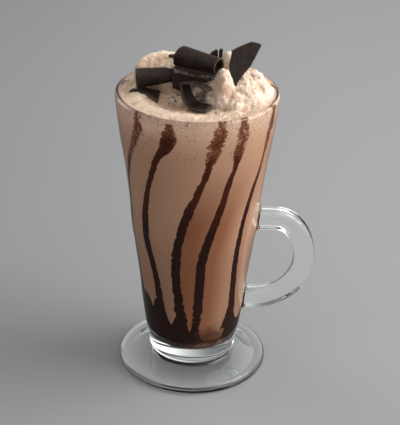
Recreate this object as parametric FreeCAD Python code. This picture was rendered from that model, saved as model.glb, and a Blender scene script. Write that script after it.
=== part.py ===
"""Chocolate milkshake in a footed glass mug, modelled in millimetres.

The mug stands on the XY plane with its axis on Z, its foot's underside at Z = 0 and its
handle towards +X. Each separate piece is one solid, written to parts/NODE.step:

    glass            pressed bowl, foot and handle, one piece of glass
    syrup            chocolate syrup that lies in the bottom of the bowl
    milkshake        the drink, from the syrup up to the froth
    froth            frothed cream, which fills the mouth and stands above it in dollops
    curl_*           the rolled chocolate shavings that lie on the froth
    shard            the flat chocolate shard that stands in it
    flake_*, sliver  the smaller flat pieces of chocolate
"""

import FreeCAD, Part
import math
import os
from FreeCAD import Vector

# Foot
foot_radius = 38.3
foot_edge = 4.9  # thickness at the rounded edge
foot_rise = 0.9  # how much the upper face climbs from the edge to the stem
foot_ring = 3.2  # width of the ring that the foot stands on
foot_hollow = 1.2  # depth of the recess inside that ring
stem_radius = 20.2
stem_fillet = 2.4  # radius of the hollow between foot and bowl

# Bowl, outside: made by the mould, with a soft shoulder by the handle's upper root
base_radius = 22.4
base_corner = 1.8
base_height = 11.6  # where the wall starts, above its rounded corner
rim_radius = 40.0
rim_height = 151.4
# The wall is five stretches, each a flat arc or a straight line. The shoulder is the one
# that the handle's upper root stands on, and reaches a little past it both ways. A swell is
# how far the top of a stretch lies outside a straight taper from base to lip, and a bulge is
# how far the stretch bows out between its ends.
belly_height, belly_swell, belly_bulge = 50.0, 0.2, 0.5
shoulder_below, waist_swell, waist_bulge = 3.6, 0.4, 0.0
shoulder_above, shoulder_swell, shoulder_bulge = 0.6, 0.05, 0.35
neck_height, neck_swell, neck_bulge = 120.0, 0.0, -0.3
lip_bulge = 0.35

# Bowl, inside: made by the plunger, a straight taper down to a rounded floor
wall = 2.9  # thickness at the lip, which is a half round
wall_foot = 2.5  # thickness beside the floor
floor_height = 16.2
floor_corner = 6.5

# Handle: a D of rounded-square bar in the XZ plane, sizes on its centreline
handle_top = 82.6
handle_bottom = 36.8
handle_reach = 56.3  # from the bowl's axis
handle_waist = 0.53  # share of the D's height where it reaches furthest
handle_top_round = 0.58  # share of the D's depth that is curved, at the top
handle_bottom_round = 0.84
handle_depth = 10.6  # in the plane of the D
handle_width = 10.4  # across it
handle_corner = 3.0
handle_root_fillet = 1.6

# Contents
syrup_level = 25.0  # on the axis
syrup_cling = 6.0  # how much higher the syrup stands at the wall
syrup_lean = 8.5  # how much higher still it was left towards -X, and lower towards +X
syrup_dish = 3  # how steeply it climbs towards the wall
syrup_peaks = 2.6  # height of the waves in its edge there
syrup_waves = 7
syrup_swells = 3  # longer swells that the waves ride on
syrup_swell_share = 0.35
syrup_turn = 0.6  # radians by which the waves are turned round the axis
froth_below_rim = 1.1  # at the wall
froth_depth = 14.3  # there
froth_lean = 0.6  # how much higher it stands there on the handle's side
froth_blend = 5  # how sharply neighbouring dollops meet
# Dollops of froth: (x, y), rise above the level, (half length in X, in Y), fullness.
# A dollop is the rounder and steeper at its edge, the smaller its fullness is.
froth_dollops = (
    ((17.0, 0.0), 11.8, (20.5, 22.0), 0.6),
    ((11.2, -10.5), 16.5, (5.0, 9.5), 0.6),
    ((15.5, 8.0), 18.5, (8.0, 8.0), 1.0),
    ((-14.5, 13.0), 14.0, (15.5, 12.5), 0.13),
    ((0.0, 3.0), 13.5, (13.0, 10.0), 0.6),
    ((-2.0, -11.0), 2.5, (12.0, 11.0), 1.0),
)

# Chocolate. Heights are above the level of the froth at the wall.
shaving = 1.1  # thickness of the shaved sheet that the curls are made of
shard_sheet = 1.5
broken_edge = 0.4  # how much a broken corner is eased
# Curls: ends of the axis, radius at each end, turns, gap between turns, roll about the
# axis, lean of each end's cut in Y and Z
curls = {
    "curl_centre": (
        ((-9.0, 4.1, 16.6), (9.6, -9.0, 16.7)),
        (6.3, 4.9), 1.25, 0.4, 235, ((0.1, 0.15), (0.0, -0.1)),
    ),
    "curl_left": (
        ((-29.8, 1.4, 5.7), (-11.1, 4.0, 6.9)),
        (5.1, 4.2), 1.2, 0.35, 20, ((0.0, 0.05), (0.0, 0.1)),
    ),
    "curl_front": (
        ((-0.9, -22.0, 7.7), (2.9, -14.4, 6.7)),
        (8.0, 6.4), 0.78, 0.3, -130, ((0.0, 0.1), (0.1, 0.0)),
    ),
}
# Flat pieces: outline in the piece's own plane, thickness, origin, its X and Y directions
flats = {
    "shard": (
        ((-0.6, -4.0), (1.0, 0.4), (4.0, 4.4), (7.5, 8.0), (11.6, 15.0), (13.4, 18.2),
         (11.8, 19.2), (8.4, 20.0), (3.1, 18.1), (-0.8, 16.3), (-2.8, 8.8), (-2.5, 4.6)),
        shard_sheet, (17.7, -10.0, 8.6), (1, 0.15, 0), (0, 0.45, 1),
    ),
    "flake_left": (
        ((0.0, 0.0), (8.0, -1.2), (14.8, -12.4), (15.6, 3.0), (9.0, 6.5), (3.2, 5.0)),
        shaving, (-33.4, -1.2, -0.6), (1, 0, 0), (0, 1, 0),
    ),
    "flake_under": (
        ((-3.0, -2.0), (-3.4, 5.4), (-0.1, 6.0), (4.0, 5.4), (9.0, 5.0), (13.6, 4.4),
         (14.4, 1.6), (12.9, -0.8), (7.0, -2.2), (1.1, -3.0)),
        shaving, (-8.9, -2.3, 4.75), (1, -0.3, 0), (0, 0.2, 1),
    ),
    "flake_back": (
        ((0.0, 0.0), (1.7, 1.7), (4.1, 2.9), (4.6, 1.9), (4.4, -6.6), (2.4, -7.4)),
        shaving, (4.9, 9.0, 16.1), (1, 0.1, 0), (0, 0.1, 1),
    ),
    "flake_upright": (
        ((-0.5, -4.6), (-0.2, 2.5), (1.0, 3.8), (1.8, 2.8), (1.2, -4.8)),
        shaving, (10.0, 9.0, 15.9), (1, 0.3, 0), (0.1, 0.1, 1),
    ),
    "sliver": (
        ((0.0, 0.0), (3.6, 1.4), (7.4, 1.8), (7.2, -2.2), (3.0, -1.0)),
        shaving, (-15.4, 12.0, 13.3), (1, 0, 0), (0, 1, 0),
    ),
}

# Working sizes of the construction
syrup_grid = 24  # spaces between control points, across the syrup's surface
froth_grid = 32
heap_room = 40.0  # space above the lip that is left for the froth
margin = 2.0  # how far a block reaches past what it cuts
smallest_piece = 0.5  # mm3; whatever a boolean leaves below this is no piece
tolerance = 1e-3


def arc(start, middle, end):
    """Edge of the circle arc through three points."""
    return Part.Arc(start, middle, end).toShape()


def line(start, end):
    """Straight edge."""
    return Part.LineSegment(start, end).toShape()


def quarter(start, corner, end):
    """Quarter of an ellipse that touches both sides of the corner."""
    curve = Part.BezierCurve()
    curve.setPoles([start, corner, end])
    curve.setWeight(2, math.sqrt(0.5))
    return curve.toShape()


def at(radius, height):
    """Point of a turned outline, in the XZ plane."""
    return Vector(radius, 0, height)


def towards(degrees):
    """Unit vector in the XZ plane, turned up from +X."""
    return Vector(math.cos(math.radians(degrees)), 0, math.sin(math.radians(degrees)))


def turned(edges):
    """Solid that a closed outline in the XZ plane sweeps round Z."""
    face = Part.Face(Part.Wire(edges))
    return face.revolve(Vector(0, 0, 0), Vector(0, 0, 1), 360)


def edges_along(shape, direction):
    """Edges of a shape that run along a direction."""
    aligned = 1 - tolerance
    return [e for e in shape.Edges if abs(e.tangentAt(e.FirstParameter).dot(direction)) > aligned]


def only_solid(shape):
    """The one solid of a boolean's result."""
    solids = [s for s in shape.Solids if s.Volume > smallest_piece]
    assert len(solids) == 1, f"{len(solids)} solids in place of one"
    return solids[0]


# --- glass ---------------------------------------------------------------------------


def lip_height():
    """Where the walls end and the half round of the lip starts."""
    return rim_height - wall / 2


def taper_radius(height):
    """Outer radius of a straight taper from the bowl's base to its lip."""
    share = (height - base_height) / (lip_height() - base_height)
    return base_radius + (rim_radius - base_radius) * share


def outer_edges():
    """Outer wall, from the base to the lip, as arcs and straight stretches."""
    root = handle_depth / 2 + handle_root_fillet
    stretches = (
        (belly_height, belly_swell, belly_bulge),
        (handle_top - root - shoulder_below, waist_swell, waist_bulge),
        (handle_top + root + shoulder_above, shoulder_swell, shoulder_bulge),
        (neck_height, neck_swell, neck_bulge),
        (lip_height(), 0, lip_bulge),
    )
    edges = []
    start = at(base_radius, base_height)
    for height, swell, bulge in stretches:
        end = at(taper_radius(height) + swell, height)
        middle = (start + end) * 0.5 + Vector(bulge, 0, 0)
        edges.append(arc(start, middle, end) if bulge else line(start, end))
        start = end
    return edges


def inner_edges():
    """Inner outline from the axis to the lip: flat floor, round corner, straight wall."""
    lip = at(rim_radius - wall, lip_height())
    foot = at(taper_radius(floor_height) - wall_foot, floor_height)
    lean = math.atan2(lip.x - foot.x, lip.z - foot.z)
    set_in = floor_corner * (1 - math.sin(lean)) / math.cos(lean)
    centre = at(foot.x - set_in, floor_height + floor_corner)
    wall_turn = -math.degrees(lean)
    on_floor = centre + towards(-90) * floor_corner
    between = centre + towards((wall_turn - 90) / 2) * floor_corner
    on_wall = centre + towards(wall_turn) * floor_corner
    return [
        line(at(0, floor_height), on_floor),
        arc(on_floor, between, on_wall),
        line(on_wall, lip),
    ]


def foot_edges():
    """Underside, rounded edge and upper face of the foot, and the hollow under the bowl."""
    half = foot_edge / 2
    edge_start = foot_radius - half
    ring_inside = edge_start - foot_ring
    recess = ring_inside - 2 * foot_hollow
    hollow = at(stem_radius + stem_fillet, foot_edge + foot_rise + stem_fillet)
    hollow_low = hollow + towards(-90) * stem_fillet
    hollow_middle = hollow + towards(-135) * stem_fillet
    hollow_side = hollow + towards(180) * stem_fillet
    corner_low = at(base_radius - base_corner, hollow_side.z)
    corner = at(base_radius, hollow_side.z)
    return [
        line(at(0, foot_hollow), at(recess, foot_hollow)),
        line(at(recess, foot_hollow), at(ring_inside, 0)),
        line(at(ring_inside, 0), at(edge_start, 0)),
        arc(at(edge_start, 0), at(foot_radius, half), at(edge_start, foot_edge)),
        line(at(edge_start, foot_edge), hollow_low),
        arc(hollow_low, hollow_middle, hollow_side),
        line(hollow_side, corner_low),
        quarter(corner_low, corner, at(base_radius, base_height)),
    ]


def bowl():
    """Foot and bowl turned in one piece, open at the mouth, with a half-round lip."""
    outside = at(rim_radius, lip_height())
    inside = at(rim_radius - wall, lip_height())
    lip = arc(outside, at(rim_radius - wall / 2, rim_height), inside)
    bottom = line(at(0, floor_height), at(0, foot_hollow))
    return turned([*foot_edges(), *outer_edges(), lip, *reversed(inner_edges()), bottom])


def handle_path():
    """Centreline of the handle, from inside the wall at the top to inside it lower down."""
    start = at(taper_radius(handle_top) - wall / 2, handle_top)
    end = at(taper_radius(handle_bottom) - wall / 2, handle_bottom)
    waist = at(handle_reach, handle_bottom + (handle_top - handle_bottom) * handle_waist)
    top_corner = at(handle_reach, handle_top)
    bottom_corner = at(handle_reach, handle_bottom)
    top_bend = top_corner + (start - top_corner) * handle_top_round
    bottom_bend = bottom_corner + (end - bottom_corner) * handle_bottom_round
    return Part.Wire(
        [
            line(start, top_bend),
            quarter(top_bend, top_corner, waist),
            quarter(waist, bottom_corner, bottom_bend),
            line(bottom_bend, end),
        ]
    )


def handle_section(centre):
    """Rounded square across the bar, in the plane X = centre.x."""
    corner = centre - Vector(0, handle_width / 2, handle_depth / 2)
    bar = Part.makeBox(1, handle_width, handle_depth, corner)
    rounded = bar.makeFillet(handle_corner, edges_along(bar, Vector(1, 0, 0)))
    ends = [f for f in rounded.Faces if abs(f.CenterOfMass.x - centre.x) < tolerance]
    return ends[0].OuterWire


def handle():
    """The D of bar, as a sweep along its centreline."""
    path = handle_path()
    section = handle_section(path.Edges[0].Vertexes[0].Point)
    return path.makePipeShell([section], True, False)


def glass():
    """Bowl, foot and handle as one solid, with a fillet where the bar meets the wall."""
    turned_part, bar = bowl(), handle()
    seam = turned_part.section(bar)
    whole = only_solid(turned_part.fuse(bar))
    roots = []
    for edge in whole.Edges:
        middle = edge.valueAt((edge.FirstParameter + edge.LastParameter) / 2)
        if seam.distToShape(Part.Vertex(middle))[0] < tolerance:
            roots.append(edge)
    return only_solid(whole.makeFillet(handle_root_fillet, roots))


# --- contents ------------------------------------------------------------------------


def froth_level():
    """Height of the froth at the wall."""
    return rim_height - froth_below_rim


def filling():
    """Everything inside the bowl, from its floor to well above the lip."""
    lip = at(rim_radius - wall, lip_height())
    top = rim_height + heap_room
    edges = [
        *inner_edges(),
        line(lip, at(lip.x, top)),
        line(at(lip.x, top), at(0, top)),
        line(at(0, top), at(0, floor_height)),
    ]
    return turned(edges)


def block_between(bottom, top):
    """Box that is wider than the bowl, between two heights."""
    side = rim_radius + margin
    return Part.makeBox(2 * side, 2 * side, top - bottom, Vector(-side, -side, bottom))


def block_under(height_at, spaces):
    """Block as wide, under a smooth surface with control points at height_at(x, y)."""
    side = rim_radius + margin
    stations = [side * (2 * i / spaces - 1) for i in range(spaces + 1)]
    net = [[Vector(x, y, height_at(x, y)) for y in stations] for x in stations]
    knots = list(range(spaces - 1))
    repeats = [4, *[1] * (spaces - 3), 4]
    surface = Part.BSplineSurface()
    surface.buildFromPolesMultsKnots(net, repeats, repeats, knots, knots, False, False, 3, 3)
    return surface.toShape().extrude(Vector(0, 0, -(rim_height + heap_room)))


def syrup_height(x, y):
    """Top of the syrup: it clings to the wall, in waves, and stands highest towards -X."""
    reach = min(math.hypot(x, y) / taper_radius(syrup_level), 1 + margin / base_radius)
    angle = math.atan2(y, x)
    waves = math.sin(syrup_waves * angle + syrup_turn)
    waves += syrup_swell_share * math.cos(syrup_swells * angle)
    cling = syrup_cling + syrup_peaks * waves - syrup_lean * math.cos(angle)
    return syrup_level + cling * reach**syrup_dish


def froth_height(x, y):
    """Top of the froth: level at the wall, with dollops of cream where it was heaped."""
    heaped = 0.0
    for (centre_x, centre_y), rise, (half_x, half_y), fullness in froth_dollops:
        away = ((x - centre_x) / half_x) ** 2 + ((y - centre_y) / half_y) ** 2
        if away < 1:
            heaped += (rise * (1 - away) ** fullness) ** froth_blend
    return froth_level() + froth_lean * x / rim_radius + heaped ** (1 / froth_blend)


def contents():
    """Syrup, milkshake and froth, cut from one filling so that they meet face to face."""
    whole = filling()
    froth_base = froth_level() - froth_depth
    drink = only_solid(whole.common(block_between(0, froth_base)))
    syrup_block = block_under(syrup_height, syrup_grid)
    syrup = only_solid(drink.common(syrup_block))
    milkshake = only_solid(drink.cut(syrup_block))
    above = whole.common(block_between(froth_base, rim_height + heap_room))
    froth = only_solid(above.common(block_under(froth_height, froth_grid)))
    return syrup, milkshake, froth


# --- chocolate -----------------------------------------------------------------------


def spiral(radius, turns, gap):
    """Arcs of a spiral in the YZ plane that winds inwards, struck from four centres.

    Each quarter turn has its centre a step further on, so that its neighbours meet it in
    line and the radius shrinks by the sheet and the gap in one turn.
    """
    step = (shaving + gap) / 4
    centre = Vector(0, 0, 0)
    edges = []
    angle = 0.0
    while angle < turns * 2 * math.pi - tolerance:
        sweep = min(math.pi / 2, turns * 2 * math.pi - angle)
        start, middle, end = (
            centre + Vector(0, math.cos(angle + part), math.sin(angle + part)) * radius
            for part in (0, sweep / 2, sweep)
        )
        edges.append(arc(start, middle, end))
        angle += sweep
        centre += Vector(0, math.cos(angle), math.sin(angle)) * step
        radius -= step
    return edges


def scroll_end(x, radius, turns, gap):
    """Outline of the rolled sheet's cut end, in the plane at x."""
    outer = spiral(radius, turns, gap)
    inner = spiral(radius - shaving, turns, gap)
    first = line(inner[0].Vertexes[0].Point, outer[0].Vertexes[0].Point)
    last = line(outer[-1].Vertexes[-1].Point, inner[-1].Vertexes[-1].Point)
    wire = Part.Wire([first, *outer, last, *reversed(inner)])
    wire.translate(Vector(x, 0, 0))
    return wire


def scroll(radii, turns, gap, length):
    """Shaved sheet rolled up round X, with a radius at each end, centred on the origin."""
    start = scroll_end(-length / 2, radii[0], turns, gap)
    end = scroll_end(length / 2, radii[1], turns, gap)
    return Part.makeLoft([start, end], True, True)


def trimmed(solid, x, lean):
    """Cuts off what lies beyond x on the axis, on a plane that leans in Y and Z."""
    side = 2 * rim_radius
    cutter = Part.makeBox(side, side, side, Vector(0, -side / 2, -side / 2))
    across = Vector(math.copysign(1, x), *lean)
    turn = FreeCAD.Rotation(Vector(1, 0, 0), across)
    cutter.Placement = FreeCAD.Placement(Vector(x, 0, 0), turn)
    return only_solid(solid.cut(cutter))


def curl(ends, radii, turns, gap, roll, leans):
    """Curl whose axis runs from one end to the other, rolled about that axis."""
    start, end = Vector(*ends[0]), Vector(*ends[1])
    length = (end - start).Length
    spare = 2 * max(radii) * max(abs(lean) for pair in leans for lean in pair)
    solid = scroll(radii, turns, gap, length + 2 * spare)
    solid.rotate(Vector(0, 0, 0), Vector(1, 0, 0), roll)
    solid = trimmed(solid, -length / 2, leans[0])
    solid = trimmed(solid, length / 2, leans[1])
    along = FreeCAD.Rotation(Vector(1, 0, 0), end - start)
    solid.Placement = FreeCAD.Placement((start + end) * 0.5, along).multiply(solid.Placement)
    return solid


def flat(outline, thickness, origin, along, across):
    """Flat broken piece: a polygon in its own plane, with its corners eased."""
    points = [Vector(x, y, 0) for x, y in outline]
    face = Part.Face(Part.makePolygon([*points, points[0]]))
    solid = face.extrude(Vector(0, 0, thickness))
    corners = edges_along(solid, Vector(0, 0, 1))
    solid = only_solid(solid.makeFillet(broken_edge, corners))
    x_axis, y_axis = Vector(*along), Vector(*across)
    turn = FreeCAD.Rotation(x_axis, y_axis, x_axis.cross(y_axis), "XYZ")
    solid.Placement = FreeCAD.Placement(Vector(*origin), turn)
    return solid


def chocolate():
    """Every curl and flat piece, in place on the froth."""
    pieces = {name: curl(*sizes) for name, sizes in curls.items()}
    pieces.update({name: flat(*sizes) for name, sizes in flats.items()})
    for piece in pieces.values():
        piece.translate(Vector(0, 0, froth_level()))
    return pieces


def main():
    """Builds every node and writes it."""
    os.makedirs("parts", exist_ok=True)
    syrup, milkshake, froth = contents()
    pieces = chocolate()
    for piece in pieces.values():
        froth = only_solid(froth.cut(piece))
    nodes = {"glass": glass(), "syrup": syrup, "milkshake": milkshake, "froth": froth, **pieces}
    for name, solid in nodes.items():
        assert solid.isValid(), f"{name} isn't a valid solid"
        solid.exportStep(f"parts/{name}.step")
        box = solid.optimalBoundingBox(False, False)
        print(
            f"{name:14s} {solid.Volume:10.1f} mm3  x {box.XMin:6.1f} {box.XMax:6.1f}"
            f"  y {box.YMin:6.1f} {box.YMax:6.1f}  z {box.ZMin:6.1f} {box.ZMax:6.1f}"
        )


main()
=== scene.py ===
import math
import random

import bmesh
import bpy
from mathutils import Matrix, Vector, kdtree, noise


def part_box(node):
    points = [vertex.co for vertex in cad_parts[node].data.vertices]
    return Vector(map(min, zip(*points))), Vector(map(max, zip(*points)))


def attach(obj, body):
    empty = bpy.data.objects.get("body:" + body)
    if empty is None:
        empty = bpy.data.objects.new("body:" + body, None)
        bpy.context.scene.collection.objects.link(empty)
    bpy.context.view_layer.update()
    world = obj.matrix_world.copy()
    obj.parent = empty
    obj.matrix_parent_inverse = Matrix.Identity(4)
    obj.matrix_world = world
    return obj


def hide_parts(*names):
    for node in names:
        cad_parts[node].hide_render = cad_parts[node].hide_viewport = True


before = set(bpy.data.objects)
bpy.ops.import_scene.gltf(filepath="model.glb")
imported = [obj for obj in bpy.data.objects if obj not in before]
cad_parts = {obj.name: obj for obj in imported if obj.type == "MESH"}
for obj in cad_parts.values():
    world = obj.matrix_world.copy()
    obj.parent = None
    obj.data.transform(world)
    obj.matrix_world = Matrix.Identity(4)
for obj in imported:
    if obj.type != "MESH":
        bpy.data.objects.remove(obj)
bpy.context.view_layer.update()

# --- Glass -----------------------------------------------------------------------------
# The mug is one piece of clear pressed glass: a mould shapes the outside, a plunger the
# inside, and the lip is fire-polished round. Its handle, a bar of rounded square section,
# is pressed with it and runs into the wall with a small fillet.

mm = 0.001
glass_low, glass_high = (Vector(corner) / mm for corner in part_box("glass"))
rim_radius = -glass_low.x
rim_height = glass_high.z
wall = 2.9
wall_foot = 2.5
lip_height = rim_height - wall / 2
foot_radius, foot_edge, foot_rise = 38.3, 4.9, 0.9
foot_ring, foot_hollow = 3.2, 1.2
stem_radius, stem_fillet = 20.2, 2.4
base_radius, base_corner, base_height = 22.4, 1.8, 11.6
floor_height, floor_corner = 16.2, 6.5
handle_top, handle_bottom = 82.6, 36.8
handle_depth, handle_width, handle_corner, handle_root = 10.6, 10.4, 3.0, 1.6
handle_reach = glass_high.x - handle_depth / 2
handle_waist = 0.53  # share of the handle's height where it reaches furthest
handle_top_round, handle_bottom_round = 0.58, 0.84  # shares of its depth that are curved
root_swell = 0.2  # about how far the wall stands outside its taper by the handle's roots
glass_steps = 180  # round the axis; the other steps are along one curve of the outline
swell_steps, wall_steps, corner_steps = 12, 40, 12
foot_steps, stem_steps, lip_steps = 16, 8, 12
lip_overlap = 8  # degrees by which the lip's round starts past the horizontal
root_stations, root_spacing, bend_steps = 22, 0.2, 32
pressing_waves, wave_depth = 0.06, 0.12  # ripples in the surface, each millimetre, and depth
glass_color = (0.95, 0.98, 0.955)


def taper(height):
    """Radius of a straight taper from the outside of the base to the lip."""
    return base_radius + (rim_radius - base_radius) * (height - base_height) / (
        lip_height - base_height
    )


def rounded(centre, radii, start, end, steps):
    """Points (radius, height) of an elliptic arc, between two angles in degrees."""
    points = []
    for i in range(steps + 1):
        angle = math.radians(start + (end - start) * i / steps)
        points.append(
            (centre[0] + radii[0] * math.cos(angle), centre[1] + radii[1] * math.sin(angle))
        )
    return points


def outer_wall():
    """Outside of the bowl, with its faint shoulder by the handle's upper root."""
    root = handle_depth / 2 + handle_root
    stretches = (  # height of the top, how far it lies outside the taper, bulge
        (50.0, 0.2, 0.5),
        (handle_top - root - 3.6, 0.4, 0.0),
        (handle_top + root + 0.6, 0.05, 0.35),
        (120.0, 0.0, -0.3),
        (lip_height, 0.0, 0.35),
    )
    points = []
    start, start_swell = base_height, 0.0
    for end, end_swell, bulge in stretches:
        for i in range(1, swell_steps + 1):
            part = i / swell_steps
            height = start + (end - start) * part
            swell = start_swell + (end_swell - start_swell) * part
            points.append((taper(height) + swell + 4 * bulge * part * (1 - part), height))
        start, start_swell = end, end_swell
    return points


def inner_wall(sink=0.0):
    """Inside of the bowl, up from the axis at its floor; sink moves it into the glass."""
    foot = (taper(floor_height) - wall_foot, floor_height)
    lip = (rim_radius - wall, lip_height)
    lean = math.atan2(lip[0] - foot[0], lip[1] - foot[1])
    set_in = floor_corner * (1 - math.sin(lean)) / math.cos(lean)
    centre = (foot[0] - set_in, floor_height + floor_corner)
    radii = (floor_corner + sink, floor_corner + sink)
    corner = rounded(centre, radii, -90, -math.degrees(lean), corner_steps)
    last = (lip[0] + sink * math.cos(lean), lip[1] - sink * math.sin(lean))
    wall_points = []
    for i in range(1, wall_steps + 1):
        part = i / wall_steps
        wall_points.append(tuple(a + (b - a) * part for a, b in zip(corner[-1], last)))
    return [(0, floor_height - sink), *corner, *wall_points]


def glass_outline():
    """Closed outline of foot and bowl, from the axis under the foot to the axis inside."""
    half = foot_edge / 2
    edge_start = foot_radius - half
    ring_inside = edge_start - foot_ring
    hollow = (stem_radius + stem_fillet, foot_edge + foot_rise + stem_fillet)
    base_low = (base_radius - base_corner, base_height)
    return [
        (0, foot_hollow),
        (ring_inside - 2 * foot_hollow, foot_hollow),
        (ring_inside, 0),
        *rounded((edge_start, half), (half, half), -90, 90, foot_steps),
        *rounded(hollow, (stem_fillet, stem_fillet), -90, -180, stem_steps),
        *rounded(base_low, (base_corner, base_height - hollow[1]), -90, 0, stem_steps),
        *outer_wall(),
        *rounded((rim_radius - wall / 2, lip_height), (wall / 2, wall / 2), lip_overlap, 180, lip_steps),
        *reversed(inner_wall()[:-1]),
    ]


def spun(outline, steps):
    """Mesh that an outline of (radius, height) points sweeps round the axis."""
    bm = bmesh.new()
    verts = [bm.verts.new((radius, 0, height)) for radius, height in outline]
    edges = [bm.edges.new(pair) for pair in zip(verts, verts[1:])]
    bmesh.ops.spin(
        bm, geom=[*verts, *edges], cent=(0, 0, 0), axis=(0, 0, 1), angle=2 * math.pi,
        steps=steps, use_merge=True, use_duplicate=False,
    )
    bmesh.ops.remove_doubles(bm, verts=bm.verts, dist=1e-4)
    bmesh.ops.recalc_face_normals(bm, faces=bm.faces)
    return bm


def handle_stations():
    """Places along the handle's centreline: a point and the direction in the XZ plane."""
    start_x = taper(handle_top) - wall / 2
    end_x = taper(handle_bottom) - wall / 2
    waist = handle_bottom + (handle_top - handle_bottom) * handle_waist
    top_bend = handle_reach + (start_x - handle_reach) * handle_top_round
    bottom_bend = handle_reach + (end_x - handle_reach) * handle_bottom_round
    quarter = math.pi / 2
    down_to_waist = [quarter * (1 - i / bend_steps) for i in range(bend_steps + 1)]
    down_from_waist = [-quarter * i / bend_steps for i in range(1, bend_steps + 1)]
    bends = (  # where a bend starts, its height, its angles
        (top_bend, handle_top - waist, down_to_waist),
        (bottom_bend, waist - handle_bottom, down_from_waist),
    )
    stations = [((start_x + root_spacing * i, handle_top), 0.0) for i in range(root_stations)]
    for bend, rise, angles in bends:
        reach = handle_reach - bend
        for angle in angles:
            point = (bend + reach * math.cos(angle), waist + rise * math.sin(angle))
            stations.append((point, math.atan2(-rise * math.cos(angle), reach * math.sin(angle))))
    for i in reversed(range(root_stations)):
        stations.append(((end_x + root_spacing * i, handle_bottom), -math.pi))
    return stations


def handle_bar():
    """The handle as a bar swept along its centreline, flared where it meets the wall."""
    bm = bmesh.new()
    bmesh.ops.create_grid(bm, x_segments=1, y_segments=1, size=0.5)
    bmesh.ops.scale(bm, vec=(handle_depth, handle_width, 1), verts=bm.verts)
    bmesh.ops.bevel(
        bm, geom=bm.verts[:], offset=handle_corner, segments=6, profile=0.5,
        affect="VERTICES", material=-1,
    )
    places = [
        Matrix.Translation((x, 0, z)) @ Matrix.Rotation(math.pi / 2 - turn, 4, "Y")
        for (x, z), turn in handle_stations()
    ]
    bmesh.ops.transform(bm, matrix=places[0], verts=bm.verts)
    ring = bm.edges[:]
    for before, after in zip(places, places[1:]):
        grown = bmesh.ops.extrude_edge_only(bm, edges=ring)["geom"]
        moved = [item for item in grown if isinstance(item, bmesh.types.BMVert)]
        ring = [
            item for item in grown
            if isinstance(item, bmesh.types.BMEdge) and all(end in moved for end in item.verts)
        ]
        bmesh.ops.transform(bm, matrix=after @ before.inverted(), verts=moved)
    bmesh.ops.contextual_create(bm, geom=ring)
    for vert in bm.verts:
        gap = math.hypot(vert.co.x, vert.co.y) - taper(vert.co.z) - root_swell
        if gap < handle_root and vert.co.x < handle_reach - handle_depth:
            near = handle_root - max(gap, 0)
            middle = handle_top if vert.co.z > (handle_top + handle_bottom) / 2 else handle_bottom
            outwards = Vector((0, vert.co.y, vert.co.z - middle)).normalized()
            vert.co += outwards * (handle_root - math.sqrt(handle_root**2 - near**2))
    bmesh.ops.recalc_face_normals(bm, faces=bm.faces)
    return bm


def loose_object(bm, name):
    """Object in the scene that holds a bmesh."""
    mesh = bpy.data.meshes.new(name)
    bm.to_mesh(mesh)
    bm.free()
    piece = bpy.data.objects.new(name, mesh)
    bpy.context.scene.collection.objects.link(piece)
    return piece


def as_piece(piece, material, crease=30):
    """Scales a finished mesh to metres, smooths it up to a crease, and gives it its finish."""
    piece.data.transform(Matrix.Scale(mm, 4))
    piece.data.shade_smooth()
    piece.data.set_sharp_from_angle(angle=math.radians(crease))
    piece.data.materials.append(material)
    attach(piece, "root")


def with_modifiers(piece):
    """Applies a piece's modifiers to its mesh."""
    graph = bpy.context.evaluated_depsgraph_get()
    mesh = bpy.data.meshes.new_from_object(piece.evaluated_get(graph))
    piece.modifiers.clear()
    piece.data = mesh


def new_material(name, color, **sockets):
    """Principled material; sockets are its other inputs, with _ for each space."""
    material = bpy.data.materials.new(name)
    material.use_nodes = True
    surface = material.node_tree.nodes["Principled BSDF"]
    surface.inputs["Base Color"].default_value = (*color, 1)
    for socket, value in sockets.items():
        surface.inputs[socket.replace("_", " ")].default_value = value
    return material


def add_node(material, kind, settings=None, **inputs):
    """Node of a material; an input is a value or another node's output."""
    node = material.node_tree.nodes.new(kind)
    for setting, value in (settings or {}).items():
        setattr(node, setting, value)
    for name, value in inputs.items():
        socket = node.inputs[name.replace("_", " ")]
        if isinstance(value, bpy.types.NodeSocket):
            material.node_tree.links.new(value, socket)
        else:
            socket.default_value = value
    return node


def clouds(material, scale, detail=3.0, roughness=0.5):
    """Noise through the object, from 0 to 1, with scale blobs in a millimetre."""
    place = add_node(material, "ShaderNodeTexCoord").outputs["Object"]
    in_mm = add_node(material, "ShaderNodeMapping", Vector=place, Scale=(1 / mm,) * 3)
    return add_node(
        material, "ShaderNodeTexNoise", Vector=in_mm.outputs[0], Scale=scale,
        Detail=detail, Roughness=roughness,
    ).outputs["Fac"]


def connect(material, output, socket):
    """Feeds a node's output to an input of the material's surface."""
    surface = material.node_tree.nodes["Principled BSDF"]
    material.node_tree.links.new(output, surface.inputs[socket])


def relief(material, height, depth):
    """Bump on the surface from a height of 0 to 1, depth in millimetres."""
    bump = add_node(material, "ShaderNodeBump", Height=height, Distance=depth * mm, Strength=1.0)
    connect(material, bump.outputs[0], "Normal")


clear_glass = new_material(
    "clear_glass", glass_color, Transmission_Weight=1.0, Roughness=0.0, IOR=1.5
)
relief(clear_glass, clouds(clear_glass, pressing_waves, detail=1.0), wave_depth)

mug = loose_object(spun(glass_outline(), glass_steps), "mug")
bar = loose_object(handle_bar(), "handle_bar")
union = mug.modifiers.new("pressed_in_one", "BOOLEAN")
union.operation = "UNION"
union.solver = "EXACT"
union.object = bar
with_modifiers(mug)
bpy.data.objects.remove(bar)
as_piece(mug, clear_glass)
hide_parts("glass")

# --- Milkshake --------------------------------------------------------------------------
# Milk blended with chocolate, poured over the syrup. It is opaque, wets the glass all
# round and is stained by the syrup that runs down the wall beside it.

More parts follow.
